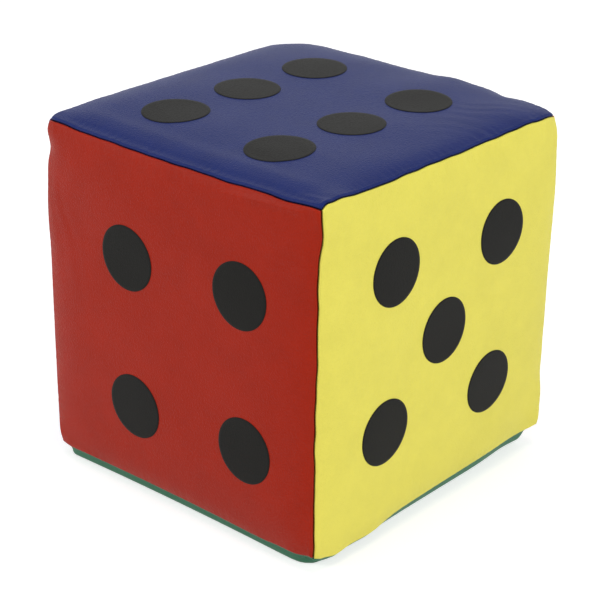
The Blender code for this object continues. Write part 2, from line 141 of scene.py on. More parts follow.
VINYLS = {
    "top": Vinyl("vinyl_blue", (0.0112, 0.0225, 0.131)),
    "front": Vinyl("vinyl_red", (0.350, 0.0176, 0.0049), roughness=0.29, shine=0.086),
    "right": Vinyl("vinyl_yellow", (0.842, 0.760, 0.126), variation=0.05),
    "back": Vinyl("vinyl_orange", (0.700, 0.160, 0.015)),
    "left": Vinyl("vinyl_purple", (0.110, 0.030, 0.200)),
    "bottom": Vinyl("vinyl_green", (0.030, 0.170, 0.085)),
}
PIP_VINYL = Vinyl("pip_vinyl", (0.0108, 0.0106, 0.0092), 0.10, 0.45, 0.080, 0.00015)


# Surface of a side

def smoothstep(low, high, value):
    """0 up to low, 1 from high on, and a smooth rise between them."""
    share = np.clip((value - low) / (high - low), 0.0, 1.0)
    return share * share * (3.0 - 2.0 * share)


def hump(distance, middle, width):
    """1 at the middle, falling smoothly to 0 on both sides of it."""
    return np.exp(-((distance - middle) / width) ** 2)


def soft_noise(x, y, wavelength, seed, waves=7):
    """A smooth, repeatable unevenness between about -1 and 1, from waves near one length."""
    random = np.random.RandomState(seed)
    total = np.zeros_like(x)
    for _ in range(waves):
        angle = random.uniform(0.0, 2.0 * math.pi)
        pace = 2.0 * math.pi / wavelength * random.uniform(0.6, 1.5)
        phase = random.uniform(0.0, 2.0 * math.pi)
        total += np.cos(pace * (x * math.cos(angle) + y * math.sin(angle)) + phase)
    return total / math.sqrt(waves)


def line_noise(along, wavelength, seed):
    """The same unevenness along a line."""
    return soft_noise(along, np.zeros_like(along), wavelength, seed)


def base_turn_up(x, y):
    """0 where the base lies flat, rising to 1 at its seams and past them."""
    flat = np.where(x > 0.0, BASE_FLAT_RIGHT, BASE_FLAT)
    across = np.clip((np.abs(x) - flat) / (BORDER - flat), 0.0, 1.0)
    along = np.clip((np.abs(y) - BASE_FLAT) / (BORDER - BASE_FLAT), 0.0, 1.0)
    both = across ** CORNER_TURN + along ** CORNER_TURN
    return np.clip(both ** (BASE_POWER / CORNER_TURN), 0.0, 1.0)


def swell(side, x, y):
    """1 in the middle of a side, falling to 0 at its border."""
    if side.name == "bottom":
        return 1.0 - base_turn_up(x, y)
    left, right, down, up = side.rolls
    across = 1.0 - np.clip(np.abs(x) / BORDER, 0.0, 1.0) ** np.where(x > 0.0, right, left)
    along = 1.0 - np.clip(np.abs(y) / BORDER, 0.0, 1.0) ** np.where(y > 0.0, up, down)
    return across * along


def seam_draw(distance, along):
    """How far the thread draws the vinyl in beside a seam, most at the seam's middle."""
    share = np.clip(np.abs(distance) / BORDER, 0.0, 1.0)
    run = np.clip(np.abs(along) / BORDER, 0.0, 1.0)
    return SEAM_DRAW * share ** DRAW_POWER * (1.0 - run ** 2)


PUCKER_DEPTH = 0.00030
PUCKER_PITCH = 0.0078
PUCKER_INSET = 0.003  # from the border to where a pucker is deepest
PUCKER_WIDTH = 0.0045
PUCKER_CORNER = 0.012  # how near a corner they fade out
PUCKER_STRAY = 0.35  # share of the pitch that one lies off its place
PUCKER_STRAY_LENGTH = 0.060
PUCKER_EVEN = 0.55  # the share of the depth that all have
PUCKER_UNEVEN = 0.45  # the share that comes and goes along the seam
PUCKER_UNEVEN_LENGTH = 0.045
PUCKER_MOST = 1.2  # of the depth


def puckers(side, x, y):
    """Depth of the small dents that the stitches pull beside the seams."""
    total = np.zeros_like(x)
    if side.name == "bottom":
        return total
    for number, (across, along) in enumerate(((x, y), (-x, y), (y, x), (-y, x))):
        seed = 10 * SIDES.index(side) + number
        stray = PUCKER_STRAY * line_noise(along, PUCKER_STRAY_LENGTH, seed)
        wave = 0.5 - 0.5 * np.cos(2.0 * math.pi * along / PUCKER_PITCH + 2.0 * math.pi * stray)
        uneven = PUCKER_UNEVEN * line_noise(along, PUCKER_UNEVEN_LENGTH, seed + 50)
        strength = np.clip(PUCKER_EVEN + uneven, 0.0, PUCKER_MOST)
        fade = hump(BORDER - across, PUCKER_INSET, PUCKER_WIDTH)
        ends = smoothstep(0.0, PUCKER_CORNER, BORDER - np.abs(along))
        total += PUCKER_DEPTH * strength * wave * fade * ends
    return total


@dataclass(frozen=True)
class Ripple:
    """Shallow waves in a patch of a panel. Its heading is the way that the waves follow on."""
    place: tuple
    reach: tuple
    heading: float
    wavelength: float
    depth: float


RIPPLES = {
    "top": (
        Ripple((0.112, 0.080), (0.024, 0.048), 118.0, 0.016, 0.00010),
        Ripple((0.060, -0.095), (0.060, 0.022), 80.0, 0.021, 0.00012),
        Ripple((-0.085, -0.100), (0.040, 0.025), 65.0, 0.019, 0.00012),
        Ripple((0.126, -0.1345), (0.011, 0.0045), 92.0, 0.009, 0.00050),
    ),
    "front": (
        Ripple((0.109, 0.098), (0.024, 0.030), 90.0, 0.011, 0.00009),
        Ripple((-0.120, 0.060), (0.020, 0.060), 10.0, 0.017, 0.00010),
    ),
    "right": (
        Ripple((-0.120, 0.120), (0.022, 0.022), 30.0, 0.012, 0.00008),
    ),
}
RIPPLE_BEND = 0.25  # share of a wavelength that the waves bend off straight
RIPPLE_BEND_LENGTH = 0.070


def ripples(patch, x, y):
    """Height of one patch of waves."""
    turn = math.radians(patch.heading)
    across = x - patch.place[0]
    along = y - patch.place[1]
    ahead = across * math.cos(turn) + along * math.sin(turn)
    bend = RIPPLE_BEND * soft_noise(x, y, RIPPLE_BEND_LENGTH, round(patch.heading))
    wave = np.cos(2.0 * math.pi * (ahead / patch.wavelength + bend))
    return patch.depth * wave * np.exp(
        -(across / patch.reach[0]) ** 2 - (along / patch.reach[1]) ** 2)


RIDGE_HEIGHT = 0.0011
RIDGE_WIDTH = 0.0024
RIDGE_START = 0.030  # across the panel, as are the next three
RIDGE_FULL = 0.103
RIDGE_END = 0.128
RIDGE_FADE = (0.124, 0.134)
RIDGE_INSET = 0.0060  # from the border, at its start
RIDGE_CLIMB = 0.0034  # how much nearer to the border it ends


def loose_ridge(x, y):
    """A soft ridge that runs close under the front panel's top seam, towards the right."""
    run = smoothstep(RIDGE_START, RIDGE_FULL, x) * (1.0 - smoothstep(*RIDGE_FADE, x))
    inset = RIDGE_INSET - RIDGE_CLIMB * smoothstep(RIDGE_START, RIDGE_END, x)
    return RIDGE_HEIGHT * run * hump(BORDER - y, inset, RIDGE_WIDTH)


LEDGE_LEFT = (-BORDER, -0.100)  # between these it comes in
LEDGE_RIGHT = (0.105, 0.136)  # and between these it goes
BROW_HEIGHT = 0.0011
BROW_INSET = 0.0190  # from the border
BROW_WIDTH = 0.0095
LEVEL_DEPTH = 0.0008
LEVEL_INSET = 0.0042  # from the border
LEVEL_WIDTH = 0.0036


def ledge(x, y):
    """The top panel falls steeply from a brow towards its front seam, then levels out."""
    run = smoothstep(*LEDGE_LEFT, x) * (1.0 - smoothstep(*LEDGE_RIGHT, x))
    brow = BROW_HEIGHT * hump(BORDER + y, BROW_INSET, BROW_WIDTH)
    level = LEVEL_DEPTH * hump(BORDER + y, LEVEL_INSET, LEVEL_WIDTH)
    return run * (brow - level)


UNEVENNESS = 0.00030  # of the foam under a panel
UNEVEN_LENGTH = 0.110
UNEVEN_INSET = 0.030  # it fades out this near the border


def height_of(side, x, y):
    """Height of the vinyl over the plane of the seams."""
    height = side.crown * swell(side, x, y)
    height = height - seam_draw(x, y) - seam_draw(y, x)
    if side.name == "bottom":
        outside = np.maximum(np.abs(x), np.abs(y)) - PIP_SEAT_REACH
        height -= PIP_SEAT_DEPTH * np.clip(1.0 - outside / PIP_SEAT_SLOPE, 0.0, 1.0)
        return height
    inset = np.minimum(BORDER - np.abs(x), BORDER - np.abs(y))
    uneven = UNEVENNESS * smoothstep(0.0, UNEVEN_INSET, inset)
    height += uneven * soft_noise(x, y, UNEVEN_LENGTH, SIDES.index(side))
    for patch in RIPPLES.get(side.name, ()):
        height += ripples(patch, x, y)
    if side.name == "front":
        height += loose_ridge(x, y)
    if side.name == "top":
        height += ledge(x, y)
    return height - puckers(side, x, y)


def surface(side, x, y):
    """Points of the side's outer surface, in its own frame."""
    wide = x - np.sign(x) * seam_draw(x, y)
    tall = y - np.sign(y) * seam_draw(y, x)
    return np.stack((wide, tall, height_of(side, x, y)), axis=-1)


# Give of the soft body: how far its corners and edges stand off a true cube, in millimetres

MILLIMETRES = 1000.0  # in a metre
CORNER_SHIFTS = {  # the two corners at the zip's edge aren't shifted
    (-1, -1, 1): (0, 0.5, 1),
    (1, -1, 1): (0, 1, 0.5),
    (1, 1, 1): (0.5, 0, -0.5),
    (-1, -1, -1): (0.5, -1, -1),
    (1, -1, -1): (0, -2.5, -3),
    (1, 1, -1): (-2.5, 1, 4.5),
}


@dataclass(frozen=True)
class Bow:
    """How the middle of a seam is bowed. The seam runs along the axis where its place is 0."""
    place: tuple
    shift: tuple
    power: float = 2.0  # how late the bow falls off towards the seam's ends


BOWS = (
    Bow((0, -1, 1), (-1.5, -2.5, -1.5)),
    Bow((1, 0, 1), (-1.5, -1, 0.5), 6.0),
    Bow((0, 1, 1), (0, 2.5, 3.8), 4.0),
    Bow((-1, 0, 1), (-1.0, 1, 2.6), 4.0),
    Bow((-1, -1, 0), (-3.9, 1, 0.5)),
    Bow((1, -1, 0), (-1.5, 0, 1.5)),
    Bow((1, 1, 0), (1.4, 1.5, -1)),
    Bow((0, -1, -1), (1, 2.5, 0.1)),
    Bow((1, 0, -1), (-1.5, 0, 0.4)),
)
BOW_REACH = 5.0  # higher keeps a bow closer to its seam


@dataclass(frozen=True)
class Dent:
    """A place where the cover is pushed, with how far round it the push is felt."""
    place: tuple
    reach: float
    shift: tuple


DENTS = (
    # Upright seam at the left
    Dent((-0.145, -0.145, 0.273), 0.010, (2.4, 1.6, 0)),
    Dent((-0.145, -0.145, 0.218), 0.026, (-1.4, -0.4, 0)),
    # Upright seam between the front and the right side
    Dent((0.145, -0.145, 0.276), 0.018, (1.1, 1.1, 0)),
    Dent((0.145, -0.145, 0.250), 0.020, (-0.9, -0.8, 0)),
    Dent((0.145, -0.145, 0.095), 0.045, (-0.5, -0.4, 0)),
    # Upright seam at the right
    Dent((0.145, 0.145, 0.235), 0.050, (1.2, 1.0, 0)),
    Dent((0.145, 0.145, 0.063), 0.012, (-0.2, -0.1, 0)),
    Dent((0.145, 0.145, 0.040), 0.018, (1.6, 1.3, 0)),
    Dent((0.145, 0.145, 0.017), 0.014, (2.0, 1.2, 0)),
    # Top seams at the back and at the right
    Dent((0.038, 0.145, 0.298), 0.014, (0, 0, 1.4)),
    Dent((0.050, 0.145, 0.298), 0.030, (0, 0, 1.6)),
    Dent((0.092, 0.145, 0.298), 0.009, (0, 0, -2.0)),
    Dent((0.145, 0.105, 0.298), 0.018, (0, 0, 1.5)),
    Dent((0.145, -0.124, 0.298), 0.016, (0, 0, 2.6)),
    Dent((0.145, -0.138, 0.298), 0.006, (0, 0, 3.2)),
    # Base and its seams
    Dent((0.110, -0.145, 0.008), 0.016, (0, 0, 1.8)),
    Dent((0.134, -0.134, 0.000), 0.012, (-1.8, 3.0, 0)),
    Dent((0.145, -0.120, 0.008), 0.016, (0, 0, -3.2)),
    Dent((0.145, -0.078, 0.008), 0.022, (0.8, 0, -3.5)),
    Dent((0.130, 0.115, 0.000), 0.030, (-3.0, 0, 0)),
)
CORNER_DENTS = (  # these move the corner over the zip too
    Dent((-0.145, 0.145, 0.298), 0.016, (3.5, -3.5, -3.5)),
    Dent((-0.145, -0.145, 0.298), 0.007, (2.8, 2.4, -1.0)),
    Dent((0.145, -0.145, 0.298), 0.007, (-1.0, 1.0, -4.2)),
    Dent((0.145, 0.145, 0.298), 0.010, (-2.0, -2.5, -1.5)),
    Dent((-0.145, -0.145, 0.008), 0.010, (2.0, 2.0, 1.0)),
    Dent((0.145, -0.145, 0.008), 0.017, (-2.0, 2.0, 6.0)),
    Dent((0.145, -0.137, 0.008), 0.006, (0, 0, -3.0)),
    Dent((0.145, 0.145, 0.008), 0.010, (-0.5, -0.5, 1.0)),
)
COVER_LIFT = 2.2  # millimetres that the seams stand higher than the zip's own edge
ZIP_STILL = (0.014, 0.045)  # nothing gives this near the zip's edge, all does this far off
FOOT = (0.012, 0.060)  # below these heights the cover rises only as far as the base turns up
SEAM_WANDER = 0.40  # millimetres that a seam strays sideways
SEAM_WANDER_LENGTH = 0.030
SEAM_WANDER_REACH = 0.006


def pushed(points, dent):
    """How far a dent moves each point."""
    distance = np.linalg.norm(points - dent.place, axis=-1)
    return hump(distance, 0.0, dent.reach)[:, None] * dent.shift


def share_that_gives(points):
    """0 along the zip, which keeps its place, and 1 away from it and above it."""
    from_zip = np.hypot(points[:, 0] + HALF, points[:, 1] - HALF)
    beside = smoothstep(*ZIP_STILL, from_zip)
    above = smoothstep(MIDDLE_Z + SLOT_END, MIDDLE_Z + HALF, points[:, 2])
    return 1.0 - (1.0 - beside) * (1.0 - above)


def seam_wander(points):
    """A hand-fed seam strays a little from side to side along its run."""
    from_middle = points - MIDDLE
    moved = np.zeros_like(points)
    for axis in range(3):
        first, second = (other for other in range(3) if other != axis)
        along = from_middle[:, axis]
        for sign_a in (-1, 1):
            for sign_b in (-1, 1):
                seed = 100 + 4 * axis + sign_a + 2 * sign_b
                distance = np.hypot(from_middle[:, first] - sign_a * HALF,
                                    from_middle[:, second] - sign_b * HALF)
                stray = SEAM_WANDER * line_noise(along, SEAM_WANDER_LENGTH, seed)
                stray *= hump(distance, 0.0, SEAM_WANDER_REACH)
                moved[:, first] += sign_a * stray
                moved[:, second] -= sign_b * stray
    return moved * share_that_gives(points)[:, None]


def give(points):
    """Moves points of the cover as the soft body gives."""
    place = np.clip((points - MIDDLE) / HALF, -1.0, 1.0)
    moved = np.zeros_like(points)
    for corner, shift in CORNER_SHIFTS.items():
        weight = ((1.0 + place * corner) / 2.0).prod(axis=-1)
        moved += weight[:, None] * shift
    for bow in BOWS:
        weight = np.ones(len(points))
        for axis, side in enumerate(bow.place):
            if side == 0:
                weight *= 1.0 - np.abs(place[:, axis]) ** bow.power
            else:
                weight *= ((1.0 + side * place[:, axis]) / 2.0) ** BOW_REACH
        moved += weight[:, None] * bow.shift
    for dent in DENTS:
        moved += pushed(points, dent)
    moved[:, 2] += COVER_LIFT
    moved *= share_that_gives(points)[:, None]
    for dent in CORNER_DENTS:
        moved += pushed(points, dent)
    moved += seam_wander(points)
    turned_up = base_turn_up(points[:, 0], points[:, 1])
    moved[:, 2] *= np.maximum(turned_up, smoothstep(*FOOT, points[:, 2]))
    return points + moved / MILLIMETRES


def side_matrix(side):
    """From a side's own frame, on the plane of its seams, to the dice's."""
    turn = Matrix.Identity(4)
    for degrees, axis in zip(side.turn, "XYZ"):
        turn = Matrix.Rotation(math.radians(degrees), 4, axis) @ turn
    return Matrix.Translation((0, 0, MIDDLE_Z)) @ turn @ Matrix.Translation((0, 0, HALF))


def placed(side, rings):
    """Points of a side in the dice's frame, with the give of the soft body."""
    matrix = np.array(side_matrix(side))
    return give(np.concatenate(rings) @ matrix[:3, :3].T + matrix[:3, 3])


def link(obj):
    """Puts a new object in the scene."""
    bpy.context.scene.collection.objects.link(obj)
    return obj


def add_mesh(name, points, faces, finish):
    mesh = bpy.data.meshes.new(name)
    mesh.from_pydata([tuple(point) for point in points], [], [tuple(face) for face in faces])
    mesh.update()
    mesh.shade_smooth()
    mesh.materials.append(finish)
    return link(bpy.data.objects.new(name, mesh))


# Panels

def zip_weight(side, x, y):
    """1 on the part of a border where the zip opens, 0 elsewhere."""
    if side.zip_edge == 0:
        return np.zeros_like(x)
    here = np.sign(x) == side.zip_edge
    run = 1.0 - smoothstep(SLOT_END - SLOT_TURN, SLOT_END + SLOT_TURN, np.abs(y))
    return np.where(here, run, 0.0)


def cut_back(side, x, y):
    """Draws a side's outer columns in to the edge of the zip opening."""
    share = np.clip((np.abs(x) - CUT_BACK_START) / (BORDER - CUT_BACK_START), 0.0, 1.0)
    inset = (BORDER - SLOT_BORDER) * share * zip_weight(side, x, y)
    return x - np.sign(x) * inset


PAINTED_SHADE_TURN = (80.0, 105.0)  # degrees of turn at which the painted shade in a seam starts and is full
ON_BORDER = 1e-6  # a point this near the border lies on it


def turned_in(side, x, y):
    """The rings past a border: round the roll, then in along the seam or under the hem."""
    weight = zip_weight(side, x, y) * (np.abs(x) >= BORDER - ON_BORDER)
    start = surface(side, cut_back(side, x, y), y)
    reach = np.stack((x / BORDER, y / BORDER), axis=-1)
    rings = []
    painted_shades = []
    for step in range(1, ROLL_STEPS + LEG_STEPS + 1):
        turn = min(step / ROLL_STEPS, 1.0)
        leg = max(step - ROLL_STEPS, 0) / LEG_STEPS
        seam_angle = math.radians(SEAM_TURN) * turn
        seam_leg = leg * ALLOWANCE * math.sqrt(0.5)
        seam_out = ROLL_RADIUS * math.sin(seam_angle) - seam_leg
        seam_down = ROLL_RADIUS * (1.0 - math.cos(seam_angle)) + seam_leg
        hem_angle = math.pi * turn
        hem_out = HEM_RADIUS * math.sin(hem_angle) - leg * HEM_LEG
        hem_down = HEM_RADIUS * (1.0 - math.cos(hem_angle))
        out = seam_out + (hem_out - seam_out) * weight
        down = seam_down + (hem_down - seam_down) * weight
        ring = start.copy()
        ring[:, :2] += reach * out[:, None]
        ring[:, 2] -= down
        rings.append(ring)
        # painted shade in the seam, 1 where the sheet has turned far in; none along the zip's hem
        painted_shades.append(smoothstep(*PAINTED_SHADE_TURN, np.degrees(seam_angle)) * (1.0 - weight))
    return rings, painted_shades


def make_panel(side, finish):
    """One sheet: a grid over its side, and rings round its border that turn in."""
    line = np.linspace(-BORDER, BORDER, CELLS + 1)
    x, y = (grid.ravel() for grid in np.meshgrid(line, line))
    rings = [surface(side, cut_back(side, x, y), y)]
    painted_shades = [np.zeros(len(x))]
    number = np.arange(len(x)).reshape(CELLS + 1, CELLS + 1)
    cells = np.stack((number[:-1, :-1], number[:-1, 1:], number[1:, 1:], number[1:, :-1]), axis=-1)
    faces = [cells.reshape(-1, 4)]
    border = np.concatenate(
        (number[0, :-1], number[:-1, -1], number[-1, :0:-1], number[:0:-1, 0]))
    last = border
    total = len(x)
    for ring, painted_shade in zip(*turned_in(side, x[border], y[border])):
        rings.append(ring)
        painted_shades.append(painted_shade)
        fresh = np.arange(total, total + len(border))
        total += len(border)
        faces.append(np.stack((np.roll(last, -1), last, fresh, np.roll(fresh, -1)), axis=-1))
        last = fresh
    obj = add_mesh(f"cover_{side.name}", placed(side, rings), np.concatenate(faces), finish)
    # a point attribute of painted shade in the seams, by which the vinyl's colour is darkened
    mark = obj.data.attributes.new("painted_seam_shade", "FLOAT", "POINT")
    mark.data.foreach_set("value", np.concatenate(painted_shades))
    solid = obj.modifiers.new("Sheet", "SOLIDIFY")
    solid.thickness = SHEET
    solid.offset = -1.0
    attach(obj, "cover")
    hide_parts(f"panel_{side.name}")
    return obj


# Pips

def pip_places(side):
    """The middles of a side's pips, from the top left one on."""
    low, high = -1, 1
    corners = ((low, high), (high, high), (low, low), (high, low))
    patterns = {
        1: (),
        2: ((low, high), (high, low)),
        3: ((low, high), (high, low)),
        4: corners,
        5: corners,
        6: corners + ((low, 0), (high, 0)),
    }
    places = patterns[side.pips]
    if side.pips % 2:
        places += ((0, 0),)
    slant = Matrix.Rotation(math.radians(side.slant), 2)
    for across, up in places:
        square = Vector((across * side.spread[0] * HALF, up * side.spread[1] * HALF))
        yield slant @ square + Vector(side.shift)


def make_pip(side, number, place, finish):
    """A thin disc of black vinyl that follows the panel under it."""
    radii = [PIP_RADIUS * share for share in np.linspace(0.1, 1.0, PIP_RINGS)]
    top = PIP_LIFT + PIP_SHEET
    outline = [(radius, top) for radius in radii[:-1]]
    outline.append((PIP_RADIUS - PIP_BEVEL_WIDTH, top))
    outline.append((PIP_RADIUS, top - PIP_BEVEL))
    outline.append((PIP_RADIUS, PIP_LIFT))
    outline += [(radius, PIP_LIFT) for radius in radii[-2::-3]]
    angle = np.linspace(0.0, 2.0 * math.pi, PIP_SPOKES, endpoint=False)
    rings = []
    for radius, lift in outline:
        ring = surface(side, place[0] + radius * np.cos(angle), place[1] + radius * np.sin(angle))
        ring[:, 2] += lift
        rings.append(ring)
    for lift in (top, PIP_LIFT):
        middle = surface(side, np.array([place[0]]), np.array([place[1]]))
        middle[:, 2] += lift
        rings.append(middle)
    count = PIP_SPOKES * len(outline)
    faces = []
    for spoke in range(PIP_SPOKES):
        after = (spoke + 1) % PIP_SPOKES
        for inner in range(0, count - PIP_SPOKES, PIP_SPOKES):
            outer = inner + PIP_SPOKES
            faces.append((inner + spoke, outer + spoke, outer + after, inner + after))
        last = count - PIP_SPOKES
        faces.append((count, spoke, after))
        faces.append((count + 1, last + after, last + spoke))
    obj = add_mesh(f"dot_{side.name}_{number}", placed(side, rings), faces, finish)
    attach(obj, "cover")
    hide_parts(f"pip_{side.name}_{number}")


# Stitches

STITCH_SHAPE = (  # place as a share of the length, then width and lift in thread radii
    (0.0, 0.15, -0.9),
    (0.12, 0.8, -0.2),
    (0.5, 1.0, 0.55),
    (0.88, 0.8, -0.2),
    (1.0, 0.15, -0.9),
)


def make_stitches(side, finish):
    """A row of top stitches that holds the hem of a panel to the zip's tape."""
    across = side.zip_edge * (SLOT_BORDER + HEM_RADIUS - STITCH_INSET)
    count = math.floor(2 * (SLOT_END - SLOT_TURN) / STITCH_PITCH)
    turns = np.linspace(0.0, 2.0 * math.pi, THREAD_SPOKES, endpoint=False)
    rings = []
    faces = []
    for number in range(count):
        start = (number - count / 2) * STITCH_PITCH
        for share, width, lift in STITCH_SHAPE:
            along = np.full(THREAD_SPOKES, start + share * STITCH_LENGTH)
            ring = surface(side, across + THREAD_RADIUS * width * np.cos(turns), along)
            ring[:, 2] += THREAD_RADIUS * (lift + width * np.sin(turns))
            rings.append(ring)
        first = number * THREAD_SPOKES * len(STITCH_SHAPE)
        last = first + THREAD_SPOKES * (len(STITCH_SHAPE) - 1)
        for low in range(first, last, THREAD_SPOKES):
            high = low + THREAD_SPOKES
            for spoke in range(THREAD_SPOKES):
                after = (spoke + 1) % THREAD_SPOKES
                faces.append((low + spoke, low + after, high + after, high + spoke))
        faces.append(tuple(first + spoke for spoke in reversed(range(THREAD_SPOKES))))
        faces.append(tuple(last + spoke for spoke in range(THREAD_SPOKES)))
    obj = add_mesh(f"stitches_{side.name}", placed(side, rings), faces, finish)
    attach(obj, "cover")


# Material parts

def new_material(name):
    """A new material, with its node tree and its shader."""
    made = bpy.data.materials.new(name)
    made.use_nodes = True
    return made, made.node_tree, made.node_tree.nodes["Principled BSDF"]


def object_coordinates(tree):
    """Metres in the object's own frame."""
    return tree.nodes.new("ShaderNodeTexCoord").outputs["Object"]


def calculated(tree, operation, *values, clamp=False):
    """A math node. Each value is a number or the output of another node."""
    node = tree.nodes.new("ShaderNodeMath")
    node.operation = operation
    node.use_clamp = clamp
    for socket, value in zip(node.inputs, values):
        if isinstance(value, float):
            socket.default_value = value
        else:
            tree.links.new(value, socket)
    return node.outputs[0]


def noise(tree, coordinates, scale, detail, roughness=0.5):
    """Noise from 0 to 1. Its scale is in patches to a metre."""
    node = tree.nodes.new("ShaderNodeTexNoise")
    node.inputs["Scale"].default_value = scale
    node.inputs["Detail"].default_value = detail
    node.inputs["Roughness"].default_value = roughness
    tree.links.new(coordinates, node.inputs["Vector"])
    return node.outputs["Fac"]


def ranged(tree, value, low, high):
    """A value from 0 to 1 made to run from low to high."""
    node = tree.nodes.new("ShaderNodeMapRange")
    node.inputs["To Min"].default_value = low
    node.inputs["To Max"].default_value = high
    tree.links.new(value, node.inputs["Value"])
    return node.outputs["Result"]


def two_tones(tree, value, colour, change, start=0.0, end=1.0):
    """The colour, darker by a share of itself at a low value and lighter by it at a high one."""
    node = tree.nodes.new("ShaderNodeValToRGB")
    dark, light = node.color_ramp.elements
    dark.position = start
    light.position = end
    dark.color = (*[part * (1.0 - change) for part in colour], 1.0)
    light.color = (*[min(part * (1.0 + change), 1.0) for part in colour], 1.0)
    tree.links.new(value, node.inputs["Fac"])
    return node.outputs["Color"]


def relief(tree, height, depth, strength):
    """A bump from a height of 0 to 1 that stands for a real depth."""
    node = tree.nodes.new("ShaderNodeBump")
    node.inputs["Distance"].default_value = depth
    node.inputs["Strength"].default_value = strength
    tree.links.new(height, node.inputs["Height"])
    return node.outputs["Normal"]


# Materials

GRAIN_SIZE = 0.0013
GRAIN_STRENGTH = 0.70
PORES_TO_GRAIN = 3.0  # how much finer the pores are
PORE_SHARE = 0.55
GRAIN_SHADE = (0.90, 1.06)  # tone where the grain is low and where it is high
GRAIN_ROUGHNESS = (-0.05, 0.07)  # added to the roughness there
PATCHES = 30.0  # of tone, to a metre
PAINTED_SHADE_STRENGTH = 0.74  # painted shade where the sheets turn in to a seam


def leather_grain(tree, coordinates):
    """The height of a pebbled grain with fine pores on it."""
    cells = tree.nodes.new("ShaderNodeTexVoronoi")
    cells.feature = "SMOOTH_F1"
    cells.inputs["Scale"].default_value = 1.0 / GRAIN_SIZE
    cells.inputs["Smoothness"].default_value = 0.35
    cells.inputs["Randomness"].default_value = 1.0
    tree.links.new(coordinates, cells.inputs["Vector"])
    pores = noise(tree, coordinates, PORES_TO_GRAIN / GRAIN_SIZE, 4.0)
    return calculated(tree, "MULTIPLY_ADD", pores, PORE_SHARE, cells.outputs["Distance"])


def vinyl(name, look):
    """Coated cloth with a pressed grain, soft patches of tone and painted shade in its seams."""
    made, tree, shader = new_material(name)
    place = object_coordinates(tree)
    grain = leather_grain(tree, place)
    patches = noise(tree, place, PATCHES, 7.0, 0.75)
    tone = two_tones(tree, patches, look.colour, look.variation, 0.25, 0.75)
    # painted shade in the seams: the tone darkens where the panel's attribute marks the turn into a
    # seam
    painted_seam_shade = tree.nodes.new("ShaderNodeAttribute")
    painted_seam_shade.attribute_name = "painted_seam_shade"
    grain_and_seam_shade = calculated(tree, "MULTIPLY_ADD", painted_seam_shade.outputs["Fac"], -PAINTED_SHADE_STRENGTH,
                       ranged(tree, grain, *GRAIN_SHADE), clamp=True)
    tint = tree.nodes.new("ShaderNodeVectorMath")
    tint.operation = "SCALE"
    tree.links.new(tone, tint.inputs[0])
    tree.links.new(grain_and_seam_shade, tint.inputs["Scale"])
    tree.links.new(tint.outputs[0], shader.inputs["Base Color"])
    gloss = ranged(tree, grain, *(look.roughness + change for change in GRAIN_ROUGHNESS))
    tree.links.new(gloss, shader.inputs["Roughness"])
    normal = relief(tree, grain, look.grain_depth, GRAIN_STRENGTH)
    tree.links.new(normal, shader.inputs["Normal"])
    shader.inputs["IOR"].default_value = 1.5
    shader.inputs["Specular IOR Level"].default_value = look.shine
    return made


def plain_finish(name, colour, roughness, metallic=0.0, scale=900.0, depth=0.00003):
    """Metal, moulded plastic, thread or foam, with fine marks in its tone and surface."""
    made, tree, shader = new_material(name)
    marks = noise(tree, object_coordinates(tree), scale, 5.0)
    tree.links.new(two_tones(tree, marks, colour, 0.15), shader.inputs["Base Color"])
    tree.links.new(relief(tree, marks, depth, 0.4), shader.inputs["Normal"])
    shader.inputs["Roughness"].default_value = roughness
    shader.inputs["Metallic"].default_value = metallic
    return made


RIB_PITCH = 0.00055
RIB_DEPTH = 0.00012
WAVES_TO_SCALE = 0.31  # a wave texture's scale, times its pitch


def weave(name, colour):
    """A woven tape: fine ribs along it, crossed by finer ones."""
    made, tree, shader = new_material(name)
    place = object_coordinates(tree)
    ribs = []
    for direction, pitch in (("Z", RIB_PITCH), ("DIAGONAL", 0.7 * RIB_PITCH)):
        rib = tree.nodes.new("ShaderNodeTexWave")
        rib.bands_direction = direction
        rib.inputs["Scale"].default_value = WAVES_TO_SCALE / pitch
        rib.inputs["Distortion"].default_value = 0.4
        tree.links.new(place, rib.inputs["Vector"])
        ribs.append(rib.outputs["Fac"])
    crossed = calculated(tree, "MULTIPLY", *ribs)
    tree.links.new(two_tones(tree, crossed, colour, 0.45), shader.inputs["Base Color"])
    tree.links.new(relief(tree, crossed, RIB_DEPTH, 0.6), shader.inputs["Normal"])
    shader.inputs["Roughness"].default_value = 0.9
    return made


# Foam and zip

FOAM_COLOUR = (0.80, 0.76, 0.58)
TOOTH_COLOUR = (0.020, 0.020, 0.021)
TAPE_COLOUR = (0.020, 0.020, 0.021)
METAL_COLOUR = (0.48, 0.48, 0.48)
THREAD_TONE = 0.8  # of its panel's colour


def make_foam():
    """The foam block of the source, a little smaller and with the give of the soft body."""
    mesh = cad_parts["foam_core"].data.copy()
    mesh.name = "foam_block"
    points = np.empty(3 * len(mesh.vertices))
    mesh.vertices.foreach_get("co", points)
    points = give((points.reshape(-1, 3) - MIDDLE) * FOAM_SHARE + MIDDLE)
    mesh.vertices.foreach_set("co", points.ravel())
    obj = link(bpy.data.objects.new("foam_block", mesh))
    mesh.materials.clear()
    mesh.materials.append(plain_finish("foam", FOAM_COLOUR, 0.95, scale=700.0, depth=0.0004))
    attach(obj, "cover")
    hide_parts("foam_core")


def finish_zip():
    """Better materials for the zip's pieces, whose shapes come from the source."""
    teeth = plain_finish("zip_teeth", TOOTH_COLOUR, 0.35)
    tape = weave("zip_tape", TAPE_COLOUR)
    metal = plain_finish("zip_metal", METAL_COLOUR, 0.28, 1.0, scale=400.0, depth=0.00001)
    for name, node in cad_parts.items():
        if name.startswith("zip_"):
            finish = teeth if "teeth" in name else tape if "tape" in name else metal
            node.data.materials.clear()
            node.data.materials.append(finish)


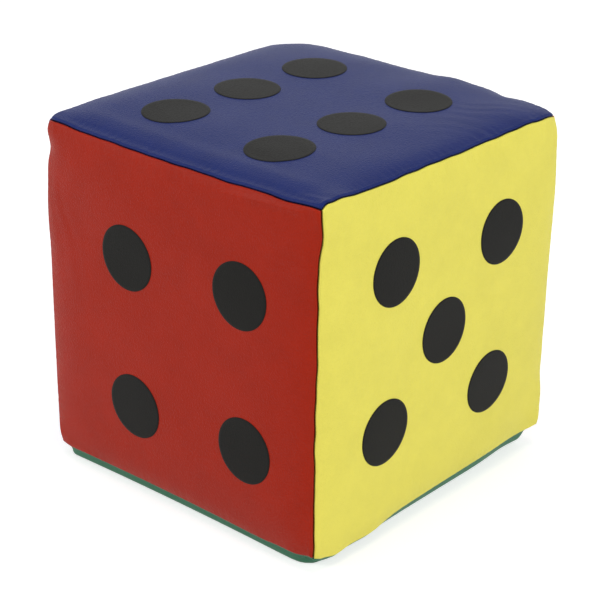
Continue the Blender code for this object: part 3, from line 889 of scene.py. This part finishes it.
# Camera, fitted to the seams and pips in the photograph
AZIMUTH = 41.4
ELEVATION = 24.27
CAMERA_ROLL = 0.55
CAMERA_DISTANCE = 1.6185
CAMERA_TARGET = (-0.0016, -0.0003, 0.1385)
FOCAL_LENGTH = 117.7  # millimetres, as is the sensor
SENSOR_WIDTH = 36.0

# Studio
FLOOR_HALF = 6.0
FLOOR_TONE = 0.80
FLOOR_GLOW = 0.56  # brings the floor up to white where it shows as background
HORIZON_LIGHT = 0.70
OVERHEAD_LIGHT = 0.06
SKY_TURN = (0.64, 0.80)  # height in the sky, as a sine, where the light turns from one to the other
LAMP_TARGET = (0, 0, 0.15)
LAMPS = {  # place, width and height, watts
    "left": ((-1.7, -2.3, 1.3), (0.9, 0.8), 25.0),
    "right": ((3.0, -0.7, 1.6), (1.4, 1.2), 34.0),
    "overhead": ((0.1, 0.0, 2.6), (1.4, 1.4), 16.0),
}


def make_camera():
    azimuth, elevation, roll = (math.radians(angle) for angle in (AZIMUTH, ELEVATION, CAMERA_ROLL))
    back = Vector((math.sin(azimuth) * math.cos(elevation),
                   -math.cos(azimuth) * math.cos(elevation), math.sin(elevation)))
    camera = bpy.data.cameras.new("camera")
    camera.lens = FOCAL_LENGTH
    camera.sensor_width = SENSOR_WIDTH
    camera.clip_start = 0.05
    obj = link(bpy.data.objects.new("camera", camera))
    level = Vector((math.cos(azimuth), math.sin(azimuth), 0.0))
    upright = back.cross(level)
    right = level * math.cos(roll) + upright * math.sin(roll)
    up = upright * math.cos(roll) - level * math.sin(roll)
    turn = Matrix((right, up, back)).transposed().to_4x4()
    place = Vector(CAMERA_TARGET) + back * CAMERA_DISTANCE
    obj.matrix_world = Matrix.Translation(place) @ turn
    bpy.context.scene.camera = obj


def make_lamp(name, place, size, power):
    lamp = bpy.data.lights.new(name, "AREA")
    lamp.shape = "RECTANGLE"
    lamp.size, lamp.size_y = size
    lamp.energy = power
    obj = link(bpy.data.objects.new(name, lamp))
    obj.location = place
    aim = Vector(LAMP_TARGET) - Vector(place)
    obj.rotation_euler = aim.to_track_quat("-Z", "Y").to_euler()


def background_rays(tree):
    """1 for rays from the camera and those that gloss or glass sends on, 0 for other light."""
    path = tree.nodes.new("ShaderNodeLightPath")
    total = path.outputs["Is Camera Ray"]
    for kind in ("Is Glossy Ray", "Is Transmission Ray"):
        total = calculated(tree, "MAXIMUM", total, path.outputs[kind])
    return total


def make_floor():
    mesh = bpy.data.meshes.new("floor")
    grid = bmesh.new()
    bmesh.ops.create_grid(grid, x_segments=1, y_segments=1, size=FLOOR_HALF)
    grid.to_mesh(mesh)
    grid.free()
    made, tree, shader = new_material("floor_white")
    shader.inputs["Base Color"].default_value = (FLOOR_TONE, FLOOR_TONE, FLOOR_TONE, 1.0)
    shader.inputs["Roughness"].default_value = 0.9
    shader.inputs["Emission Color"].default_value = (1.0, 1.0, 1.0, 1.0)
    glow = calculated(tree, "MULTIPLY", background_rays(tree), FLOOR_GLOW)
    tree.links.new(glow, shader.inputs["Emission Strength"])
    mesh.materials.append(made)
    floor = link(bpy.data.objects.new("floor", mesh))


def make_world():
    """Its light is pale round the horizon and dark overhead. Camera and gloss see it white."""
    world = bpy.data.worlds.new("studio")
    bpy.context.scene.world = world
    world.use_nodes = True
    tree = world.node_tree
    background = tree.nodes["Background"]
    background.inputs["Color"].default_value = (1.0, 1.0, 1.0, 1.0)
    place = tree.nodes.new("ShaderNodeTexCoord")
    parts = tree.nodes.new("ShaderNodeSeparateXYZ")
    tree.links.new(place.outputs["Generated"], parts.inputs[0])
    sweep = tree.nodes.new("ShaderNodeMapRange")
    sweep.interpolation_type = "SMOOTHSTEP"
    sweep.inputs["From Min"].default_value = SKY_TURN[0]
    sweep.inputs["From Max"].default_value = SKY_TURN[1]
    sweep.inputs["To Min"].default_value = HORIZON_LIGHT
    sweep.inputs["To Max"].default_value = OVERHEAD_LIGHT
    tree.links.new(parts.outputs["Z"], sweep.inputs["Value"])
    seen = calculated(tree, "MAXIMUM", sweep.outputs["Result"], background_rays(tree))
    tree.links.new(seen, background.inputs["Strength"])


# The dice

finishes = {side.name: vinyl(f"vinyl_{side.name}", VINYLS[side.name]) for side in SIDES}
pip_finish = vinyl("pip_black", PIP_VINYL)
for side in SIDES:
    make_panel(side, finishes[side.name])
    for number, place in enumerate(pip_places(side), start=1):
        make_pip(side, number, place, pip_finish)
for side in SIDES:
    if side.zip_edge:
        tone = [THREAD_TONE * part for part in VINYLS[side.name].colour]
        make_stitches(side, plain_finish(f"thread_{side.name}", tone, 0.6, scale=2500.0))
make_foam()
finish_zip()

# The studio

make_floor()
make_world()
for name, (place, size, power) in LAMPS.items():
    make_lamp(name, place, size, power)
make_camera()
bpy.context.scene.view_settings.view_transform = "Standard"
